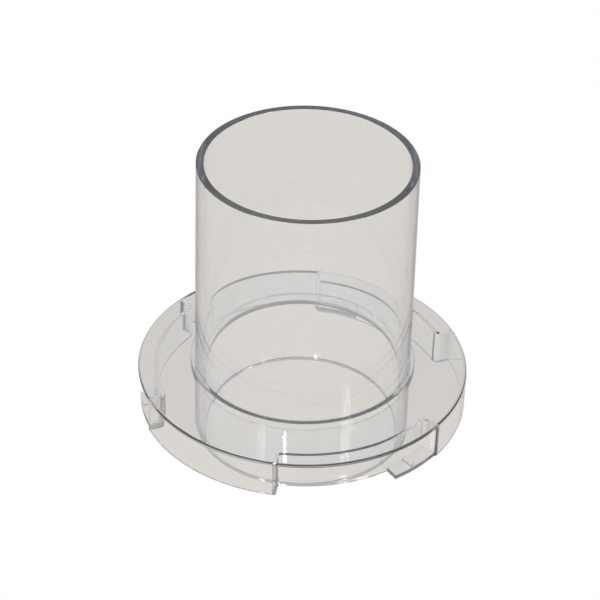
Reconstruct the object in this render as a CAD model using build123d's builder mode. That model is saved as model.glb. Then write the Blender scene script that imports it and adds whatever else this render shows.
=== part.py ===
"""Clear lid insert of a food processor, with a wide round feed tube.

Millimetres and degrees, +Z up. The origin is on the axis of the tube, in the plane of its lower
end, which is also the plane that the insert stands on.

Two mouldings make the real object. The feed tube has a straight bore, a little draft outside and
a square bead, by which it sits on the lid ring. The lid ring is a flat plate with a skirt under
its edge. Three stretches of the skirt run at the full radius, and three are set back under the
plate, each with a bayonet lug at one end of its foot. The lid ring is written as its separate
features, which meet face to face: plate, skirt walls, recess walls and lugs.
"""
import os
from math import degrees, radians, tan

from build123d import *

# --- feed tube ---------------------------------------------------------------------------------
tube_height = 116.4
bore_radius = 37.5
mouth_wall = 2.9  # wall of the tube at its upper end
outside_draft = 0.42  # the outside widens downwards by this angle
bead_radius = 42.7
bead_height = 3.2
mouth_rounding = 0.5
foot_rounding = 0.2

# --- plate and skirt of the lid ring -------------------------------------------------------------
plate_radius = 62.6
plate_thickness = 1.2
plate_top = 27.3  # height of the plate's upper face
plate_rounding = 0.9
hole_clearance = 0.1  # radial room between the tube and the plate's hole
skirt_foot = 12.4  # height of the skirt's lower edge
wall = 1.3

# --- recesses and bayonet lugs -------------------------------------------------------------------
sectors = 3
first_recess = 53.0  # direction of the middle of the first recess, anticlockwise from +X
recess_half_angle = 30.75
recess_radius = 56.6  # outer face of the set-back wall
corner_radius = 1.6  # where the set-back wall turns out into its webs
web_edge_rounding = 0.5
lug_start = 11.8  # from the middle of the recess, anticlockwise, as are the next angles
lug_radius = 62.0
lug_thickness = 1.8
lug_corner = 0.8
rib_angle = 19.5
rib_width = 1.0
rib_height = 1.2
rib_inset = 0.3  # the rib stops short of the lug's outer edge

# --- worked out ----------------------------------------------------------------------------------
plate_underside = plate_top - plate_thickness
skirt_height = plate_underside - skirt_foot
sector_step = 360 / sectors
recess_middles = [first_recess + sector_step * i for i in range(sectors)]
web_angle = degrees(wall / plate_radius)  # taken up by a web at the edge of the plate
skirt_half_angle = sector_step / 2 - recess_half_angle - web_angle / 2  # ends inside the webs


def tube_outside(height):
    """Outer radius of the tube at a height above its lower end."""
    return bore_radius + mouth_wall + (tube_height - height) * tan(radians(outside_draft))


def at(radius, angle):
    """Point of a sketch at a radius and an angle from the sketch's X axis."""
    return Vector(radius, 0).rotate(Axis.Z, angle)


def turned(height, angle):
    """Horizontal sketch plane at a height, with its X axis turned anticlockwise."""
    return Plane.XY.offset(height).rotated((0, 0, angle))


def save(part, name):
    """Label a finished piece and write it to its own file."""
    part.label = name
    export_step(part, f"parts/{name}.step")


os.makedirs("parts", exist_ok=True)

# --- feed tube: one turned section -----------------------------------------------------------------
bead_top = plate_top + bead_height
with BuildPart() as feed_tube:
    with BuildSketch(Plane.XZ):
        with BuildLine():
            Polyline(
                (bore_radius, 0),
                (tube_outside(0), 0),
                (tube_outside(plate_top), plate_top),
                (bead_radius, plate_top),
                (bead_radius, bead_top),
                (tube_outside(bead_top), bead_top),
                (tube_outside(tube_height), tube_height),
                (bore_radius, tube_height),
                close=True,
            )
        make_face()
    revolve(axis=Axis.Z)
    rims = feed_tube.edges().filter_by(GeomType.CIRCLE).group_by(Axis.Z)
    fillet(rims[-1], mouth_rounding)
    fillet(rims[0], foot_rounding)
save(feed_tube.part, "feed_tube")

# --- flat plate with the hole that the tube hangs in --------------------------------------------------
with BuildPart() as ring_plate:
    with BuildSketch(Plane.XY.offset(plate_underside)):
        Circle(plate_radius)
        Circle(tube_outside(plate_underside) + hole_clearance, mode=Mode.SUBTRACT)
    extrude(amount=plate_thickness)
    upper_rims = ring_plate.edges().group_by(Axis.Z)[-1]
    fillet(upper_rims.sort_by(SortBy.RADIUS)[-1], plate_rounding)
save(ring_plate.part, "ring_plate")

# --- set-back walls, each with a web at both ends that turns out to the full radius --------------------
recess_walls = []
for number, middle in enumerate(recess_middles, 1):
    with BuildPart() as recess_wall:
        with BuildSketch(turned(skirt_foot, middle)) as section:
            with BuildLine() as outer_face:
                for end in (-recess_half_angle, recess_half_angle):
                    Line(at(recess_radius, end), at(plate_radius + wall, end))
                CenterArc((0, 0), recess_radius, -recess_half_angle, 2 * recess_half_angle)
                fillet(outer_face.vertices().sort_by_distance((0, 0))[:2], corner_radius)
                offset(amount=wall, side=Side.RIGHT)
            make_face()
            Circle(plate_radius, mode=Mode.INTERSECT)
            for end in (-recess_half_angle, recess_half_angle):
                web_edge = section.vertices().sort_by_distance(at(plate_radius, end))[0]
                fillet(web_edge, web_edge_rounding)
        extrude(amount=skirt_height)
    recess_walls.append(recess_wall.part)
    save(recess_wall.part, f"recess_wall_{number}")

# --- full-radius walls, which fill the skirt between the webs ------------------------------------------
for number, middle in enumerate(recess_middles, 1):
    with BuildPart() as skirt_wall:
        with BuildSketch(turned(skirt_foot, middle + sector_step / 2)):
            with BuildLine():
                outer = CenterArc((0, 0), plate_radius, -skirt_half_angle, 2 * skirt_half_angle)
                inner = CenterArc((0, 0), plate_radius - wall, -skirt_half_angle, 2 * skirt_half_angle)
                Line(outer @ 0, inner @ 0)
                Line(outer @ 1, inner @ 1)
            make_face()
        extrude(amount=skirt_height)
        add(recess_walls, mode=Mode.SUBTRACT)
    save(skirt_wall.part, f"skirt_wall_{number}")

# --- bayonet lugs on the foot of the set-back walls, each with a rib across its upper face --------------
lug_arc = recess_half_angle - lug_start
rib_end = lug_radius - rib_inset
rib_root = recess_radius - wall / 2  # buried in the wall, which then cuts it to fit
for number, middle in enumerate(recess_middles, 1):
    with BuildPart() as bayonet_lug:
        with BuildSketch(turned(skirt_foot, middle)) as section:
            with BuildLine():
                outer = CenterArc((0, 0), lug_radius, lug_start, lug_arc)
                inner = CenterArc((0, 0), recess_radius, lug_start, lug_arc)
                Line(outer @ 0, inner @ 0)
                Line(outer @ 1, inner @ 1)
            make_face()
            free_corner = section.vertices().sort_by_distance(at(lug_radius, lug_start))[0]
            fillet(free_corner, lug_corner)
        extrude(amount=lug_thickness)
        with BuildSketch(turned(skirt_foot + lug_thickness, middle + rib_angle)):
            with Locations(((rib_root + rib_end) / 2, 0)):
                Rectangle(rib_end - rib_root, rib_width)
        extrude(amount=rib_height)
        add(recess_walls, mode=Mode.SUBTRACT)
    save(bayonet_lug.part, f"bayonet_lug_{number}")
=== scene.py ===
"""Clear feed-tube insert for a food processor lid: its looks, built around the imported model.

Metres, +Z up. The origin is on the axis of the tube, in the plane of its lower end, which is also
the floor. Two pieces of clear plastic are made here: the feed tube with its bead, and the lid ring,
which is a plate, a skirt with three set-back stretches, and three bayonet lugs.
"""
from math import asin, atan2, cos, hypot, pi, radians, sin, sqrt, tan

import bmesh
import bpy
from mathutils import Matrix, Vector


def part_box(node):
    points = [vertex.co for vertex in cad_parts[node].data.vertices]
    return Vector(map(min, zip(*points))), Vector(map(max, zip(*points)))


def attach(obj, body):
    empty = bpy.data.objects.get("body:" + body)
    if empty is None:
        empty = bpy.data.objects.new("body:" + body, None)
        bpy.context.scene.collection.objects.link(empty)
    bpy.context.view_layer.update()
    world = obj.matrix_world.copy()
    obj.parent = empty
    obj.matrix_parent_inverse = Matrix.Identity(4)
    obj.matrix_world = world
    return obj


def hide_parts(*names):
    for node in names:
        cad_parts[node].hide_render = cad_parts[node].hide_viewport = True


bl_info = {
    "name": "Feed Tube Lid Insert",
    "version": (1, 0, 0),
    "blender": (4, 5, 0),
    "location": "3D View > Sidebar > Insert",
    "description": "Builds a clear lid insert with a wide feed tube, and a stage to look at it on",
    "category": "Add Mesh",
}

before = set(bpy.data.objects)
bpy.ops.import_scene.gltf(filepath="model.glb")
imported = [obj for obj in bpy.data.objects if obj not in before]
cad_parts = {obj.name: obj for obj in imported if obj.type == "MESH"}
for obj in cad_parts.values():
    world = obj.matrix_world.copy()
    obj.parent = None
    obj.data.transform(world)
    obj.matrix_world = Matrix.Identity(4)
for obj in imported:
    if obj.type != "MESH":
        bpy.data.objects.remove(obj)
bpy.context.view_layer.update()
_, TUBE_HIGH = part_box("feed_tube")
PLATE_LOW, PLATE_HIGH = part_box("ring_plate")
SKIRT_LOW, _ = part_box("skirt_wall_1")

MM = 0.001
WELD = 2e-6  # vertices closer than this are one vertex
LEVEL = 1e-5  # heights and radii closer than this are the same
TINY = 1e-4  # and so are angles closer than this
WEB_SLACK = 1e-4  # a face this near to a web belongs to it
Z_AXIS = Vector((0, 0, 1))

SECTORS = 3
SECTOR = 2 * pi / SECTORS
HOOP_STEPS = 256  # steps round a full turn of the tube
ARC_STEP = radians(0.85)  # step along the skirt and the plate's edge
CORNER_STEPS = 9  # steps round the inner corner of a recess
INNER, OUTER = 1, 2  # sides of the skirt's band, kept in a vertex layer
HARD_EDGE = radians(20)  # edges sharper than this aren't shaded smooth
CREASE, CORNER = radians(40), radians(60)  # edges and web corners sharper than this are rounded

# face layers of the lid ring that its plastic reads, and their values
SOFTER_EDGE, SOFTER = "softer_edge", 0.6  # taken off the painted edge shade of inner edges
PAINTED_SHADE_FACE = "painted_shade_face"  # share of the painted shade on the lugs and the plate's rim
# shares of painted shade on a lug's outer face, on a lug's rounded edges and on the plate's rim
LUG_FACE, LUG_EDGE, RIM_EDGE = 0.95, 0.8, 0.6
THIN_CORNER, SEE_THROUGH = "thin_corner", 0.6  # taken off the alpha of the webs

RUBBED_FROM = (0.58, 0.75)  # noise between these fades from clean to rubbed
EDGE_REACH = 0.2 * MM  # how far the painted edge shade reaches in from an edge
WAVE_DEPTH = 0.1 * MM
SHADOW_TINT = (0.93, 0.93, 0.93, 1)  # light that a shadow ray keeps at each face
LIGHT_BOUNCES = 32  # a clear wall passes light on many times
BRIGHTEST_BOUNCE = 100  # so that the lamp's twice-reflected glint isn't cut off


# --- settings -------------------------------------------------------------------------------------
def length(name, description, default):
    """A size in metres that the sidebar shows in the scene's unit."""
    return bpy.props.FloatProperty(
        name=name, description=description, default=default, min=0.0, precision=5,
        unit="LENGTH", subtype="DISTANCE",
    )


def turn(name, description, default):
    """An angle, given here in degrees."""
    return bpy.props.FloatProperty(
        name=name, description=description, default=radians(default), subtype="ANGLE",
    )


def share(name, description, default):
    """A plain number from 0 to 1."""
    return bpy.props.FloatProperty(
        name=name, description=description, default=default, min=0.0, max=1.0, subtype="FACTOR",
    )


def number(name, description, default):
    """A plain number that can't be negative."""
    return bpy.props.FloatProperty(name=name, description=description, default=default, min=0.0)


def colour(name, description, default):
    """A colour, as linear red, green and blue."""
    return bpy.props.FloatVectorProperty(
        name=name, description=description, default=default, size=3, min=0.0, max=1.0,
        subtype="COLOR",
    )


def point(name, description, default):
    """A point in the frame."""
    return bpy.props.FloatVectorProperty(
        name=name, description=description, default=default, size=3, unit="LENGTH",
        subtype="TRANSLATION",
    )


class TubeSizes(bpy.types.PropertyGroup):
    bore_radius: length("Bore Radius", "Radius of the straight bore", 37.5 * MM)
    mouth_wall: length("Mouth Wall", "Thickness of the wall at the mouth", 2.9 * MM)
    draft: turn("Draft", "How far the outside leans out towards the foot", 0.42)
    bead_height: length("Bead Height", "Height of the bead above the plate", 3.2 * MM)
    weld_depth: length("Weld Depth", "How far the bead is welded into the plate", 0.02 * MM)
    mouth_rounding: length("Mouth Rounding", "Rounding of the rim at the mouth", 0.5 * MM)
    bead_rounding: length("Bead Rounding", "Rounding of the bead's upper edge", 0.3 * MM)
    foot_rounding: length("Foot Rounding", "Rounding of the tube's lower end", 0.2 * MM)


class RingSizes(bpy.types.PropertyGroup):
    wall: length("Wall", "Thickness of the skirt", 1.3 * MM)
    rim_rounding: length("Rim Rounding", "Rounding of the plate's upper edge", 0.9 * MM)
    edge_rounding: length("Edge Rounding", "Rounding of every other edge", 0.25 * MM)
    recess_radius: length("Recess Radius", "Outer face of the set-back wall", 56.6 * MM)
    corner_radius: length("Corner Radius", "Inner corner of a recess, seen from above", 1.6 * MM)
    web_rounding: length("Web Rounding", "Outer corner of a recess, seen from above", 0.6 * MM)
    recess_half_angle: turn("Recess Half Angle", "From the middle of a recess to its end", 30.75)
    first_recess: turn("First Recess", "Direction of the middle of the first recess", 53.0)
    lug_start: turn("Lug Start", "From the middle of the recess to the lug's free end", 11.8)
    lug_radius: length("Lug Radius", "Outer face of a lug", 62.0 * MM)
    lug_thickness: length("Lug Thickness", "Height of a lug", 1.8 * MM)
    rib_start: turn("Rib Start", "From the middle of the recess to the lug's rib", 19.0)
    rib_angle: turn("Rib Angle", "How wide the rib is", 1.0)
    rib_height: length("Rib Height", "Height of the rib above the lug", 1.2 * MM)
    rib_inset: length("Rib Inset", "How far the rib stops short of the lug's edge", 0.3 * MM)


class PlasticFinish(bpy.types.PropertyGroup):
    tint: colour("Tint", "Colour of the clear plastic's surface", (0.985, 0.988, 0.985))
    depth_tint: colour("Depth Tint", "Colour that thick plastic takes", (0.30, 0.36, 0.46))
    depth_density: number("Depth Density", "How fast light is taken up, per metre", 6.0)
    cloud_tint: colour("Cloud Tint", "Colour of the surface in its flow marks", (0.97, 0.975, 0.975))
    # painted edge shade: a dark colour mixed into the base colour along every rounded edge
    painted_edge_shade: colour("Edge Tint", "Colour of light that comes through an edge", (0.42, 0.45, 0.50))
    # painted shade: a dark colour put on the lugs' faces and edges and on the plate's rim
    painted_shade_tint: colour("Deep Tint", "Colour of faces seen through a lot of plastic", (0.15, 0.16, 0.19))
    edge_contrast: number("Edge Contrast", "How sharply the edge tint sets in", 6.0)
    waviness: number("Waviness", "Strength of the flow marks in the surface", 0.04)
    tube_polish: share("Tube Polish", "Roughness of the tube's faces", 0.01)
    ring_polish: share("Ring Polish", "Roughness of the lid ring's faces", 0.02)
    rubbing: share("Rubbing", "Roughness that the rub marks add", 0.05)
    clarity: share("Clarity", "How much light goes straight through a face", 0.955)
    ior: number("Refraction", "Index of refraction of the plastic", 1.57)


class StageSettings(bpy.types.PropertyGroup):
    floor_size: length("Floor Size", "Side of the square floor", 6.0)
    floor_gap: length("Floor Gap", "How far the floor lies below the tube's foot", 0.2 * MM)
    floor_colour: colour("Floor Colour", "What the floor looks like by itself", (1.0, 1.0, 1.0))
    floor_behind: colour("Floor Behind", "Its tone in and through the plastic", (0.700, 0.670, 0.637))
    contact_shade: colour("Contact Shade", "Tone under the tube's foot", (0.085, 0.095, 0.12))
    shade_radius: length("Shade Radius", "Middle of the shaded ring under the foot", 39.4 * MM)
    shade_width: length("Shade Width", "Width of that ring", 3.8 * MM)
    shade_blur: length("Shade Blur", "How softly it ends", 0.3 * MM)
    room_low: colour("Room Low", "Surroundings near the horizon", (0.12, 0.13, 0.15))
    room_high: colour("Room High", "Surroundings overhead", (0.40, 0.41, 0.42))
    lamp_size: length("Lamp Size", "Width of the small bright lamp", 0.045)
    lamp_power: number("Lamp Power", "Power of the lamp, in watts", 2.5)
    lamp_place: point("Lamp Place", "Where the lamp hangs", (-0.194, -0.668, 0.590))
    softbox_size: length("Softbox Size", "Width of the dim softbox", 0.2)
    softbox_power: number("Softbox Power", "Power of the softbox, in watts", 0.9)
    softbox_place: point("Softbox Place", "Where the softbox hangs", (0.78, -0.668, 0.870))
    trapped_bounces: number("Trapped Bounces", "Bounces after which light counts as trapped", 4.0)
    camera_place: point("Camera Place", "Where the camera stands", (0, -0.68269, 0.53870))
    camera_turn: bpy.props.FloatVectorProperty(
        name="Camera Turn", description="How the camera is turned", size=3, subtype="EULER",
        default=(radians(54.7099), radians(-1.2809), radians(1.0409)),
    )
    lens: number("Lens", "Focal length in millimetres on a 36 mm sensor", 133.98)


# --- mesh helpers -----------------------------------------------------------------------------------
def on_circle(radius, angle, height=0.0):
    """Point at a radius and an angle about the Z axis."""
    return Vector((radius * cos(angle), radius * sin(angle), height))


def radius_of(point):
    return hypot(point.x, point.y)


def same(a, b, tolerance=LEVEL):
    return abs(a - b) < tolerance


def hoops(bm, level, reach=None):
    """Edges that run round the Z axis at a height, at one radius if it is given."""
    found = []
    for edge in bm.edges:
        heights = [v.co.z for v in edge.verts]
        radii = [radius_of(v.co) for v in edge.verts]
        if (same(heights[0], level) and same(heights[1], level) and same(*radii)
                and (reach is None or same(radii[0], reach))):
            found.append(edge)
    return found


def spun(bm, geometry, angle, steps, centre=(0, 0, 0)):
    """Sweeps vertices or edges about a vertical axis and returns where they end."""
    made = bmesh.ops.spin(
        bm, geom=geometry, cent=centre, axis=Z_AXIS, dvec=(0, 0, 0), angle=angle, steps=steps,
        use_merge=False, use_duplicate=False,
    )
    return made["geom_last"]


def weld(bm):
    bmesh.ops.remove_doubles(bm, verts=bm.verts, dist=WELD)


def rounded(bm, edges, radius, segments):
    """Rounds edges to a radius and returns the new faces."""
    made = bmesh.ops.bevel(
        bm, geom=edges, offset=radius, offset_type="OFFSET", segments=segments, profile=0.5,
        affect="EDGES", clamp_overlap=True, material=-1, loop_slide=True,
    )
    return made["faces"]


def raised(bm, faces, height, keep=False):
    """Extrudes faces straight up, or down for a negative height, and returns the end faces."""
    made = bmesh.ops.extrude_face_region(bm, geom=faces)["geom"]
    if not keep:
        bmesh.ops.delete(bm, geom=faces, context="FACES")
    ends = [g for g in made if isinstance(g, bmesh.types.BMFace)]
    corners = [g for g in made if isinstance(g, bmesh.types.BMVert)]
    bmesh.ops.translate(bm, verts=corners, vec=(0, 0, height))
    return ends


def finished(bm, name, material, nodes):
    """Turns a bmesh into a named piece that stands for CAD nodes."""
    weld(bm)
    bmesh.ops.recalc_face_normals(bm, faces=bm.faces)
    open_edges = [e for e in bm.edges if len(e.link_faces) != 2]
    if open_edges:
        raise RuntimeError(f"{name} has {len(open_edges)} edges that don't join two faces")
    mesh = bpy.data.meshes.new(name)
    bm.to_mesh(mesh)
    bm.free()
    mesh.shade_smooth()
    mesh.set_sharp_from_angle(angle=HARD_EDGE)
    mesh.materials.append(material)
    piece = bpy.data.objects.new(name, mesh)
    bpy.context.scene.collection.objects.link(piece)
    even = piece.modifiers.new("even_shading", "WEIGHTED_NORMAL")
    even.mode, even.weight, even.keep_sharp = "FACE_AREA", 100, True
    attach(piece, "root")
    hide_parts(*nodes)
    return piece


def upright(edge):
    return abs(edge.verts[0].co.z - edge.verts[1].co.z) > LEVEL


def sharper(bm, angle):
    """Edges at which two faces meet at more than an angle."""
    return [e for e in bm.edges if e.is_manifold and e.calc_face_angle() > angle]


def everything(bm):
    return bm.verts[:] + bm.edges[:] + bm.faces[:]


def half_sector(bm, sizes, rim, height):
    """Draws the skirt's band flat, from the middle of a recess to the middle of a full wall."""
    side = bm.verts.layers.int.new("side")
    wall, half = sizes.wall, sizes.recess_half_angle
    corner_reach = sizes.recess_radius + sizes.corner_radius
    corner_angle = half - asin(sizes.corner_radius / corner_reach)

    def web_point(distance, depth):
        """Point of the web: distance from the axis along its face, depth into its thickness."""
        return on_circle(distance, half, height) + on_circle(depth, half + pi / 2)

    inner = bm.verts.new((sizes.recess_radius - wall, 0, height))
    outer = bm.verts.new((sizes.recess_radius, 0, height))
    inner[side], outer[side] = INNER, OUTER
    last = [inner, outer, bm.edges.new((inner, outer))]
    stops = (0, sizes.lug_start, sizes.rib_start, sizes.rib_start + sizes.rib_angle, corner_angle)
    for start, stop in zip(stops, stops[1:]):
        last = spun(bm, last, stop - start, max(1, round((stop - start) / ARC_STEP)))
    last = spun(bm, last, half - corner_angle - pi / 2, CORNER_STEPS,
                on_circle(corner_reach, corner_angle, height))
    ends = (
        (web_point(sizes.lug_radius, 0), web_point(sqrt((rim - wall) ** 2 - wall ** 2), wall)),
        (web_point(rim, 0), web_point(sqrt(rim ** 2 - wall ** 2), wall)),
    )
    edge = next(g for g in last if isinstance(g, bmesh.types.BMEdge))
    for face_end, back_end in ends:
        grown = bmesh.ops.extrude_edge_only(bm, edges=[edge])["geom"]
        edge = next(g for g in grown if isinstance(g, bmesh.types.BMEdge)
                    and all(len(v.link_edges) == 2 for v in g.verts))
        for v in edge.verts:
            v.co = face_end if v[side] == OUTER else back_end
    # the web has reached the plate's edge, and its back now turns into the full wall
    back = next(v for v in edge.verts if v[side] == INNER)
    front = next(e.other_vert(back) for e in back.link_edges if e != edge)
    back[side] = OUTER
    band = bm.edges.get((front, back))
    swing = SECTOR / 2 - half - asin(wall / rim)
    last = spun(bm, [front, back, band], swing, round(swing / ARC_STEP))
    for v in last:
        if isinstance(v, bmesh.types.BMVert):
            v.co = on_circle(rim if v[side] == OUTER else rim - wall, SECTOR / 2, height)
    start = bm.verts.new((rim, 0, height))
    start[side] = OUTER
    spun(bm, [start], half, round(half / ARC_STEP))
    weld(bm)


def lug(bm, sizes, middle, foot, lug_top, rib_top):
    """Adds one bayonet lug with its rib to the set-back wall of a recess."""
    def place(point):
        angle = (atan2(point.y, point.x) - middle + pi) % (2 * pi) - pi
        return radius_of(point), angle

    def on_face(edge_or_face, low, high, start, stop):
        """True on the recess side of the set-back wall, between two heights and two angles."""
        for v in edge_or_face.verts:
            radius, angle = place(v.co)
            if not (low - LEVEL < v.co.z < high + LEVEL and start - TINY < angle < stop + TINY
                    and sizes.recess_radius - LEVEL < radius < sizes.lug_radius + LEVEL):
                return False
        return True

    half = sizes.recess_half_angle
    rib_stop = sizes.rib_start + sizes.rib_angle
    rib_root = [f for f in bm.faces if on_face(f, lug_top, rib_top, sizes.rib_start, rib_stop)
                and any(map(upright, f.edges))]
    grown = bmesh.ops.extrude_face_region(bm, geom=rib_root)["geom"]
    bmesh.ops.delete(bm, geom=rib_root, context="FACES")
    for v in grown:
        if isinstance(v, bmesh.types.BMVert):
            v.co = on_circle(sizes.lug_radius - sizes.rib_inset, atan2(v.co.y, v.co.x), v.co.z)
    floor_faces = [f for f in bm.faces if len(f.verts) == 4 and all(
        same(v.co.z, lug_top) and sizes.rib_start - TINY < place(v.co)[1] < rib_stop + TINY
        and place(v.co)[0] > sizes.recess_radius - LEVEL for v in f.verts)]
    root = [f for f in bm.faces if on_face(f, foot, lug_top, sizes.lug_start, half)
            and any(map(upright, f.edges))]
    bmesh.ops.delete(bm, geom=floor_faces + root, context="FACES_ONLY")
    bmesh.ops.delete(bm, geom=[e for e in bm.edges if e.is_wire], context="EDGES")
    post = next(e for e in bm.edges if e.is_boundary and upright(e) and all(
        same(place(v.co)[1], sizes.lug_start, TINY) and same(place(v.co)[0], sizes.recess_radius)
        for v in e.verts))
    grown = bmesh.ops.extrude_edge_only(bm, edges=[post])["geom"]
    free = [g for g in grown if isinstance(g, bmesh.types.BMVert)]
    for v in free:
        v.co = on_circle(sizes.lug_radius, middle + sizes.lug_start, v.co.z)
    free.append(bm.edges.get(free))
    swing = half - sizes.lug_start
    spun(bm, free, swing, round(swing / ARC_STEP))
    weld(bm)
    for level in (lug_top, foot):
        loop = [e for e in bm.edges if e.is_boundary and all(same(v.co.z, level) for v in e.verts)]
        bmesh.ops.contextual_create(bm, geom=loop)


def fill_plate(bm, rim, hole, under):
    """Fills the plate flat: under its edge outside the recesses, and inside the skirt's band."""
    side = bm.verts.layers.int["side"]
    border = [e for e in bm.edges if e.is_boundary]
    rim_arcs = [e for e in bm.edges if e.is_wire]
    outside = [e for e in border if all(v[side] == OUTER for v in e.verts)
               and not all(same(radius_of(v.co), rim) for v in e.verts)]
    inside = [e for e in border if all(v[side] == INNER for v in e.verts)]
    bmesh.ops.triangle_fill(bm, edges=outside + rim_arcs, use_beauty=True)
    made = bmesh.ops.create_circle(
        bm, cap_ends=False, segments=HOOP_STEPS, radius=hole,
        matrix=Matrix.Translation((0, 0, under)))
    hoop = list({e for v in made["verts"] for e in v.link_edges})
    bmesh.ops.triangle_fill(bm, edges=inside + hoop, use_beauty=True)


def painted_shade_marks(face, sizes, rim, under, lug_top, rib_top, on_edge):
    """How much a face of the lid ring loses of its painted edge shade, takes of the painted shade on
    the lugs and the plate's rim, and loses of its alpha."""
    middle = face.calc_center_median()
    radius = radius_of(middle)
    level = abs(face.normal.z) > 0.5
    fuzz = sizes.edge_rounding
    swing = (atan2(middle.y, middle.x) - sizes.first_recess + SECTOR / 2) % SECTOR - SECTOR / 2
    past_web = (abs(swing) - sizes.recess_half_angle) * radius
    on_lug = (middle.z < rib_top + fuzz and sizes.recess_radius - fuzz < radius
              and sizes.lug_start - TINY < swing < sizes.recess_half_angle + TINY)
    on_rim = middle.z > under + LEVEL and radius > rim - sizes.rim_rounding
    on_web = (middle.z < under - LEVEL and not level and not on_lug
              and radius > sizes.recess_radius + fuzz
              and -WEB_SLACK < past_web < sizes.wall + WEB_SLACK)
    softer = thin = painted_shade = 0.0
    if not on_lug and (radius < rim - sizes.rim_rounding or middle.z < under - LEVEL):
        softer = SOFTER
    # painted shade on the lugs' outer faces and edges and on the plate's rim
    if middle.z < lug_top and not level and same(radius, sizes.lug_radius, fuzz):
        painted_shade = LUG_FACE
    elif on_lug and on_edge:
        painted_shade = LUG_EDGE
    if on_rim:
        painted_shade = RIM_EDGE
    if on_web:
        thin = SEE_THROUGH
    return softer, painted_shade, thin


# --- materials --------------------------------------------------------------------------------------
def node(tree, kind, place, **values):
    """Adds a node; values name its attributes, or its input sockets where it has no such attribute."""
    made = tree.nodes.new(kind)
    made.location = place
    for key, value in values.items():
        if hasattr(made, key):
            setattr(made, key, value)
        else:
            made.inputs[key.replace("_", " ")].default_value = value
    return made


def group_tree(name, inputs, outputs):
    """An empty shader node group with named sockets, and its two end nodes."""
    tree = bpy.data.node_groups.new(name, "ShaderNodeTree")
    for kind, label, default in inputs:
        socket = tree.interface.new_socket(label, in_out="INPUT", socket_type=kind)
        socket.default_value = default
    for kind, label in outputs:
        tree.interface.new_socket(label, in_out="OUTPUT", socket_type=kind)
    return tree, node(tree, "NodeGroupInput", (-900, 0)), node(tree, "NodeGroupOutput", (900, 0))


def edge_mask_group():
    """How near a point is to a rounded edge: 1 on the edge and 0 out on the open faces."""
    tree, given, result = group_tree(
        "edge_mask",
        [("NodeSocketFloat", "Contrast", 3.0)],
        [("NodeSocketFloat", "Mask")],
    )
    link = tree.links.new
    soft = node(tree, "ShaderNodeBevel", (-700, 100), samples=4)
    soft.inputs["Radius"].default_value = EDGE_REACH
    true = node(tree, "ShaderNodeNewGeometry", (-700, -100))
    turn_between = node(tree, "ShaderNodeVectorMath", (-450, 0), operation="DOT_PRODUCT")
    away = node(tree, "ShaderNodeMath", (-250, 0), operation="SUBTRACT")
    away.inputs[0].default_value = 1.0
    scaled = node(tree, "ShaderNodeMath", (0, 0), operation="MULTIPLY", use_clamp=True)
    link(soft.outputs["Normal"], turn_between.inputs[0])
    link(true.outputs["Normal"], turn_between.inputs[1])
    link(turn_between.outputs["Value"], away.inputs[1])
    link(away.outputs[0], scaled.inputs[0])
    link(given.outputs["Contrast"], scaled.inputs[1])
    link(scaled.outputs[0], result.inputs["Mask"])
    return tree


def moulded_surface_group():
    """Faint flow marks of the moulding and fine rub marks, as a roughness and a bump height."""
    tree, given, result = group_tree(
        "moulded_surface",
        [
            ("NodeSocketFloat", "Polish", 0.02),
            ("NodeSocketFloat", "Rubbing", 0.05),
            ("NodeSocketFloat", "Flow Scale", 35.0),
            ("NodeSocketFloat", "Rub Scale", 900.0),
        ],
        [
            ("NodeSocketFloat", "Roughness"),
            ("NodeSocketFloat", "Height"),
            ("NodeSocketFloat", "Cloud"),
        ],
    )
    link = tree.links.new
    place = node(tree, "ShaderNodeTexCoord", (-900, 300))
    stretched = node(tree, "ShaderNodeMapping", (-700, 300))
    stretched.inputs["Scale"].default_value = (1.0, 1.0, 0.25)
    flow = node(tree, "ShaderNodeTexNoise", (-450, 300))
    flow.inputs["Detail"].default_value = 2.0
    rub = node(tree, "ShaderNodeTexNoise", (-450, 0))
    rub.inputs["Detail"].default_value = 4.0
    rub.inputs["Distortion"].default_value = 0.6
    rubbed = node(tree, "ShaderNodeMapRange", (-200, 0), interpolation_type="SMOOTHSTEP")
    for socket, limit in zip(("From Min", "From Max"), RUBBED_FROM):
        rubbed.inputs[socket].default_value = limit
    amount = node(tree, "ShaderNodeMath", (50, 0), operation="MULTIPLY")
    total = node(tree, "ShaderNodeMath", (300, 0), operation="ADD")
    link(place.outputs["Object"], stretched.inputs["Vector"])
    link(stretched.outputs["Vector"], flow.inputs["Vector"])
    link(place.outputs["Object"], rub.inputs["Vector"])
    link(given.outputs["Flow Scale"], flow.inputs["Scale"])
    link(given.outputs["Rub Scale"], rub.inputs["Scale"])
    link(rub.outputs[0], rubbed.inputs["Value"])
    link(rubbed.outputs["Result"], amount.inputs[0])
    link(given.outputs["Rubbing"], amount.inputs[1])
    link(amount.outputs[0], total.inputs[0])
    link(given.outputs["Polish"], total.inputs[1])
    link(total.outputs[0], result.inputs["Roughness"])
    link(flow.outputs[0], result.inputs["Height"])
    link(flow.outputs[0], result.inputs["Cloud"])
    return tree


def shared_group(name, build):
    """The node group of that name, built the first time it is asked for."""
    return bpy.data.node_groups.get(name) or build()


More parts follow.
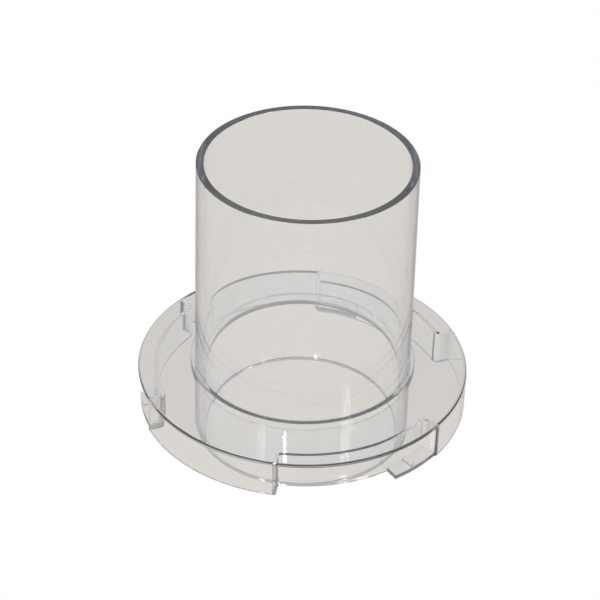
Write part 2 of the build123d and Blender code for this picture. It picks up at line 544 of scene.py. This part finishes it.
def clear_plastic(name, finish, polish):
    """Clear moulded plastic: hardly tinted on its faces, slate in depth, and with painted shade along
    its edges, on the lugs and on the plate's rim.

    The face layers only exist on the lid ring, and read as zero elsewhere.
    """
    material = bpy.data.materials.new(name)
    material.use_nodes = True
    tree = material.node_tree
    tree.nodes.clear()
    link = tree.links.new
    out = node(tree, "ShaderNodeOutputMaterial", (800, 0))
    edges = node(tree, "ShaderNodeGroup", (-700, 200))
    edges.node_tree = shared_group("edge_mask", edge_mask_group)
    edges.inputs["Contrast"].default_value = finish.edge_contrast
    surface = node(tree, "ShaderNodeGroup", (-700, -200))
    surface.node_tree = shared_group("moulded_surface", moulded_surface_group)
    surface.inputs["Polish"].default_value = polish
    surface.inputs["Rubbing"].default_value = finish.rubbing
    clouded = node(tree, "ShaderNodeMix", (-450, 0), data_type="RGBA")
    clouded.inputs[6].default_value = (*finish.tint, 1)
    clouded.inputs[7].default_value = (*finish.cloud_tint, 1)
    # painted edge shade: the edge mask mixes a dark colour into the base colour at the edges
    shaded = node(tree, "ShaderNodeMix", (-250, 100), data_type="RGBA")
    shaded.inputs[7].default_value = (*finish.painted_edge_shade, 1)
    bump = node(tree, "ShaderNodeBump", (-250, -300))
    bump.inputs["Strength"].default_value = finish.waviness
    bump.inputs["Distance"].default_value = WAVE_DEPTH
    body = node(tree, "ShaderNodeBsdfPrincipled", (0, 0))
    body.inputs["IOR"].default_value = finish.ior
    body.inputs["Transmission Weight"].default_value = finish.clarity
    softer = node(tree, "ShaderNodeAttribute", (-900, 500), attribute_name=SOFTER_EDGE)
    painted_shade = node(tree, "ShaderNodeAttribute", (-900, 350), attribute_name=PAINTED_SHADE_FACE)
    masked = node(tree, "ShaderNodeMath", (-500, 400), operation="SUBTRACT", use_clamp=True)
    # painted shade on the lugs and the plate's rim, read from the face layer
    painted_shade_mix = node(tree, "ShaderNodeMix", (-120, 200), data_type="RGBA")
    painted_shade_mix.inputs[7].default_value = (*finish.painted_shade_tint, 1)
    thin = node(tree, "ShaderNodeAttribute", (-900, 650), attribute_name=THIN_CORNER)
    solid = node(tree, "ShaderNodeMath", (-350, 600), operation="SUBTRACT", use_clamp=True)
    solid.inputs[0].default_value = 1.0
    link(edges.outputs["Mask"], masked.inputs[0])
    link(softer.outputs["Fac"], masked.inputs[1])
    link(thin.outputs["Fac"], solid.inputs[1])
    link(solid.outputs[0], body.inputs["Alpha"])
    link(surface.outputs["Cloud"], clouded.inputs[0])
    link(clouded.outputs[2], shaded.inputs[6])
    link(masked.outputs[0], shaded.inputs[0])
    link(painted_shade.outputs["Fac"], painted_shade_mix.inputs[0])
    link(shaded.outputs[2], painted_shade_mix.inputs[6])
    link(painted_shade_mix.outputs[2], body.inputs["Base Color"])
    link(surface.outputs["Roughness"], body.inputs["Roughness"])
    link(surface.outputs["Height"], bump.inputs["Height"])
    link(bump.outputs["Normal"], body.inputs["Normal"])
    through = node(tree, "ShaderNodeBsdfTransparent", (0, -400))
    through.inputs["Color"].default_value = SHADOW_TINT
    path = node(tree, "ShaderNodeLightPath", (0, 400))
    mix = node(tree, "ShaderNodeMixShader", (400, 0))
    link(path.outputs["Is Shadow Ray"], mix.inputs[0])
    link(body.outputs[0], mix.inputs[1])
    link(through.outputs[0], mix.inputs[2])
    link(mix.outputs[0], out.inputs["Surface"])
    depth = node(tree, "ShaderNodeVolumeAbsorption", (400, -300))
    depth.inputs["Color"].default_value = (*finish.depth_tint, 1)
    depth.inputs["Density"].default_value = finish.depth_density
    link(depth.outputs[0], out.inputs["Volume"])
    return material


def floor_paint(settings):
    """A pale floor that looks white itself and a little greyer in and through the plastic."""
    material = bpy.data.materials.new("floor_paint")
    material.use_nodes = True
    tree = material.node_tree
    tree.nodes.clear()
    link = tree.links.new
    out = node(tree, "ShaderNodeOutputMaterial", (400, 0))
    path = node(tree, "ShaderNodeLightPath", (-400, 0))
    blend = node(tree, "ShaderNodeMix", (-100, 0), data_type="RGBA")
    blend.inputs[7].default_value = (*settings.floor_colour, 1)
    place = node(tree, "ShaderNodeTexCoord", (-1200, -200))
    reach = node(tree, "ShaderNodeVectorMath", (-1000, -200), operation="LENGTH")
    ramp = node(tree, "ShaderNodeMapRange", (-800, -200), interpolation_type="SMOOTHSTEP")
    ramp.inputs["From Min"].default_value = 0.0
    ramp.inputs["From Max"].default_value = settings.shade_blur
    off = node(tree, "ShaderNodeMath", (-900, -200), operation="SUBTRACT")
    off.inputs[1].default_value = settings.shade_radius
    wide = node(tree, "ShaderNodeMath", (-850, -200), operation="ABSOLUTE")
    narrow = node(tree, "ShaderNodeMath", (-820, -200), operation="SUBTRACT")
    narrow.inputs[1].default_value = settings.shade_width / 2
    shade = node(tree, "ShaderNodeMix", (-400, -200), data_type="RGBA")
    shade.inputs[6].default_value = (*settings.contact_shade, 1)
    shade.inputs[7].default_value = (*settings.floor_behind, 1)
    link(place.outputs["Object"], reach.inputs[0])
    link(reach.outputs["Value"], off.inputs[0])
    link(off.outputs[0], wide.inputs[0])
    link(wide.outputs[0], narrow.inputs[0])
    link(narrow.outputs[0], ramp.inputs["Value"])
    free = node(tree, "ShaderNodeMath", (-700, 100), operation="LESS_THAN")
    free.inputs[1].default_value = settings.trapped_bounces
    bright = node(tree, "ShaderNodeMath", (-550, -50), operation="MAXIMUM")
    link(path.outputs["Ray Depth"], free.inputs[0])
    link(free.outputs[0], bright.inputs[0])
    link(ramp.outputs["Result"], bright.inputs[1])
    link(bright.outputs[0], shade.inputs[0])
    link(shade.outputs[2], blend.inputs[6])
    glow = node(tree, "ShaderNodeEmission", (150, 0))
    link(path.outputs["Is Camera Ray"], blend.inputs[0])
    link(blend.outputs[2], glow.inputs["Color"])
    link(glow.outputs[0], out.inputs["Surface"])
    return material


def soft_studio(settings):
    """Pale surroundings for the eye, and a dimmer room with a lighter ceiling for reflections."""
    world = bpy.data.worlds.new("soft_studio")
    world.use_nodes = True
    tree = world.node_tree
    tree.nodes.clear()
    link = tree.links.new
    out = node(tree, "ShaderNodeOutputWorld", (800, 0))
    back = node(tree, "ShaderNodeBackground", (600, 0))
    path = node(tree, "ShaderNodeLightPath", (200, 300))
    place = node(tree, "ShaderNodeTexCoord", (-600, 0))
    split = node(tree, "ShaderNodeSeparateXYZ", (-400, 0))
    ramp = node(tree, "ShaderNodeValToRGB", (-200, 0))
    ramp.color_ramp.elements[0].position = 0.0
    ramp.color_ramp.elements[0].color = (*settings.room_low, 1)
    ramp.color_ramp.elements[1].position = 1.0
    ramp.color_ramp.elements[1].color = (*settings.room_high, 1)
    blend = node(tree, "ShaderNodeMix", (400, 0), data_type="RGBA")
    blend.inputs[7].default_value = (*settings.floor_colour, 1)
    link(place.outputs["Generated"], split.inputs[0])
    link(split.outputs["Z"], ramp.inputs[0])
    link(ramp.outputs[0], blend.inputs[6])
    link(path.outputs["Is Camera Ray"], blend.inputs[0])
    link(blend.outputs[2], back.inputs["Color"])
    link(back.outputs[0], out.inputs[0])
    return world


# --- pieces -----------------------------------------------------------------------------------------
class INSERT_OT_feed_tube(bpy.types.Operator):
    """Turns the feed tube with its bead from one section"""

    bl_idname = "insert.feed_tube"
    bl_label = "Feed Tube"

    def execute(self, context):
        sizes = context.scene.insert_tube
        finish = context.scene.insert_finish
        height = TUBE_HIGH.z
        seat = PLATE_HIGH.z - sizes.weld_depth
        bead_top = PLATE_HIGH.z + sizes.bead_height
        bead_radius = TUBE_HIGH.x

        def outside(z):
            return sizes.bore_radius + sizes.mouth_wall + (height - z) * tan(sizes.draft)

        section = [
            (sizes.bore_radius, 0), (outside(0), 0), (outside(seat), seat), (bead_radius, seat),
            (bead_radius, bead_top), (outside(bead_top), bead_top), (outside(height), height),
            (sizes.bore_radius, height),
        ]
        bm = bmesh.new()
        corners = [bm.verts.new((r, 0, z)) for r, z in section]
        ring = [bm.edges.new((a, b)) for a, b in zip(corners, corners[1:] + corners[:1])]
        bmesh.ops.spin(
            bm, geom=corners + ring, cent=(0, 0, 0), axis=Z_AXIS, dvec=(0, 0, 0), angle=2 * pi,
            steps=HOOP_STEPS, use_merge=True, use_duplicate=False,
        )
        weld(bm)
        bmesh.ops.recalc_face_normals(bm, faces=bm.faces)
        for level, reach, rounding, segments in (
            (0, None, sizes.foot_rounding, 2),
            (bead_top, bead_radius, sizes.bead_rounding, 3),
            (height, None, sizes.mouth_rounding, 4),
        ):
            rounded(bm, hoops(bm, level, reach), rounding, segments)
        plastic = clear_plastic("tube_plastic", finish, finish.tube_polish)
        finished(bm, "clear_feed_tube", plastic, ["feed_tube"])
        return {"FINISHED"}


class INSERT_OT_lid_ring(bpy.types.Operator):
    """Builds the lid ring: plate, skirt, set-back walls and bayonet lugs"""

    bl_idname = "insert.lid_ring"
    bl_label = "Lid Ring"

    def execute(self, context):
        sizes = context.scene.insert_ring
        tube = context.scene.insert_tube
        finish = context.scene.insert_finish
        rim, under, foot = PLATE_HIGH.x, PLATE_LOW.z, SKIRT_LOW.z
        lug_top = foot + sizes.lug_thickness
        rib_top = lug_top + sizes.rib_height
        hole = (tube.bore_radius + tube.mouth_wall + (TUBE_HIGH.z - under) * tan(tube.draft)
                - tube.weld_depth)
        bm = bmesh.new()
        half_sector(bm, sizes, rim, under)
        bmesh.ops.mirror(bm, geom=everything(bm), matrix=Matrix(), axis="Y", merge_dist=WELD)
        bmesh.ops.rotate(
            bm, verts=bm.verts, cent=(0, 0, 0), matrix=Matrix.Rotation(sizes.first_recess, 3, "Z"))
        bmesh.ops.spin(
            bm, geom=everything(bm), cent=(0, 0, 0), axis=Z_AXIS, dvec=(0, 0, 0),
            angle=SECTOR * (SECTORS - 1), steps=SECTORS - 1, use_merge=False, use_duplicate=True,
        )
        weld(bm)
        skirt = bm.faces[:]
        fill_plate(bm, rim, hole, under)
        bmesh.ops.recalc_face_normals(bm, faces=bm.faces)
        raised(bm, bm.faces[:], PLATE_HIGH.z - under, keep=True)
        # the skirt, down to the top of the ribs, to the top of the lugs and to the foot
        level = under
        for lower in (rib_top, lug_top, foot):
            skirt = raised(bm, skirt, lower - level)
            level = lower
        for sector in range(SECTORS):
            lug(bm, sizes, sizes.first_recess + SECTOR * sector, foot, lug_top, rib_top)
        weld(bm)
        bmesh.ops.recalc_face_normals(bm, faces=bm.faces)
        webs = [e for e in sharper(bm, CORNER)
                if upright(e) and same(radius_of(e.verts[0].co), rim)]
        rounded(bm, webs, sizes.web_rounding, 4)
        rounded(bm, hoops(bm, PLATE_HIGH.z, rim), sizes.rim_rounding, 5)
        layers = [bm.faces.layers.float.new(n) for n in (SOFTER_EDGE, PAINTED_SHADE_FACE, THIN_CORNER)]
        edge_faces = set(rounded(bm, sharper(bm, CREASE), sizes.edge_rounding, 2))
        bm.normal_update()
        for face in bm.faces:
            marks = painted_shade_marks(face, sizes, rim, under, lug_top, rib_top, face in edge_faces)
            for layer, mark in zip(layers, marks):
                face[layer] = mark
        plastic = clear_plastic("ring_plastic", finish, finish.ring_polish)
        finished(bm, "clear_lid_ring", plastic,
                 [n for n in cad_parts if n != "feed_tube"])
        return {"FINISHED"}


class INSERT_OT_stage(bpy.types.Operator):
    """Lays the floor, hangs the lights and sets up the camera"""

    bl_idname = "insert.stage"
    bl_label = "Stage"

    def execute(self, context):
        scene = context.scene
        settings = scene.insert_stage
        bm = bmesh.new()
        bmesh.ops.create_grid(bm, x_segments=1, y_segments=1, size=settings.floor_size / 2)
        mesh = bpy.data.meshes.new("floor")
        bm.to_mesh(mesh)
        bm.free()
        mesh.materials.append(floor_paint(settings))
        floor = bpy.data.objects.new("floor", mesh)
        floor.location.z = -settings.floor_gap
        scene.collection.objects.link(floor)
        scene.world = soft_studio(settings)

        for name, size, power, spot in (
            ("lamp", settings.lamp_size, settings.lamp_power, settings.lamp_place),
            ("softbox", settings.softbox_size, settings.softbox_power, settings.softbox_place),
        ):
            data = bpy.data.lights.new(name, "AREA")
            data.shape, data.size, data.energy = "DISK", size, power
            lamp = bpy.data.objects.new(name, data)
            lamp.location = spot
            aim = Vector((0, 0, PLATE_HIGH.z)) - lamp.location
            lamp.rotation_euler = aim.to_track_quat("-Z", "Y").to_euler()
            scene.collection.objects.link(lamp)
        data = bpy.data.cameras.new("camera")
        data.lens, data.sensor_width = settings.lens, 36
        data.clip_start, data.clip_end = 0.05, 50
        camera = bpy.data.objects.new("camera", data)
        camera.location = settings.camera_place
        camera.rotation_euler = settings.camera_turn
        scene.collection.objects.link(camera)
        scene.camera = camera
        scene.view_settings.view_transform = "Standard"
        scene.cycles.max_bounces = scene.cycles.transmission_bounces = LIGHT_BOUNCES
        scene.cycles.sample_clamp_indirect = BRIGHTEST_BOUNCE
        return {"FINISHED"}


class INSERT_PT_panel(bpy.types.Panel):
    """Lists the pieces and the stage"""

    bl_idname = "INSERT_PT_panel"
    bl_label = "Feed Tube Lid Insert"
    bl_space_type = "VIEW_3D"
    bl_region_type = "UI"
    bl_category = "Insert"

    def draw(self, context):
        for operator, groups in STEPS:
            box = self.layout.box()
            box.operator(operator.bl_idname)
            for group in groups:
                for name in GROUPS[group].__annotations__:
                    box.prop(getattr(context.scene, group), name)


STEPS = (
    (INSERT_OT_feed_tube, ("insert_tube",)),
    (INSERT_OT_lid_ring, ("insert_ring", "insert_finish")),
    (INSERT_OT_stage, ("insert_stage",)),
)
GROUPS = {
    "insert_tube": TubeSizes,
    "insert_ring": RingSizes,
    "insert_finish": PlasticFinish,
    "insert_stage": StageSettings,
}


def register():
    for group in GROUPS.values():
        bpy.utils.register_class(group)
    for operator, _ in STEPS:
        bpy.utils.register_class(operator)
    bpy.utils.register_class(INSERT_PT_panel)
    for name, group in GROUPS.items():
        setattr(bpy.types.Scene, name, bpy.props.PointerProperty(type=group))


def unregister():
    for name in GROUPS:
        delattr(bpy.types.Scene, name)
    bpy.utils.unregister_class(INSERT_PT_panel)
    for operator, _ in reversed(STEPS):
        bpy.utils.unregister_class(operator)
    for group in reversed(GROUPS.values()):
        bpy.utils.unregister_class(group)


def main():
    register()
    bpy.ops.insert.feed_tube()
    bpy.ops.insert.lid_ring()
    bpy.ops.insert.stage()


if __name__ == "__main__":
    main()
